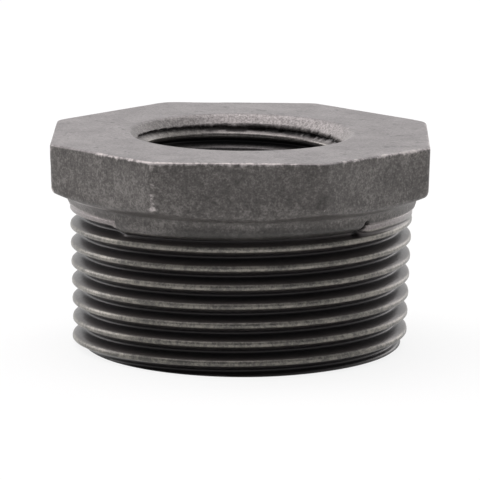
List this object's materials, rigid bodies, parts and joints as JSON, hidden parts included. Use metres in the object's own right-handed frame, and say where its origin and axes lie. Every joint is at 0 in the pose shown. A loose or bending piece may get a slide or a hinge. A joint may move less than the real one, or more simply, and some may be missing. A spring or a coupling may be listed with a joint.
{
  "type": "octagonal reducing bushing",
  "caption": "Black malleable iron pipe reducing bushing with an octagonal wrench head, a male taper thread and a tapped through bore.",
  "frame": {"origin": "centre of the small end, on the axis of the threads", "axes": "+Z along the axis up to the wrench head, +X and +Y square to two pairs of the head's flats"},
  "size_m": [0.046, 0.0458, 0.0264],
  "materials": {
    "black_iron": "as-cast black oxide scale, cut metal on the threads"
  },
  "bodies": {
    "root": {"bushing": "black_iron"}
  },
  "joints": []
}
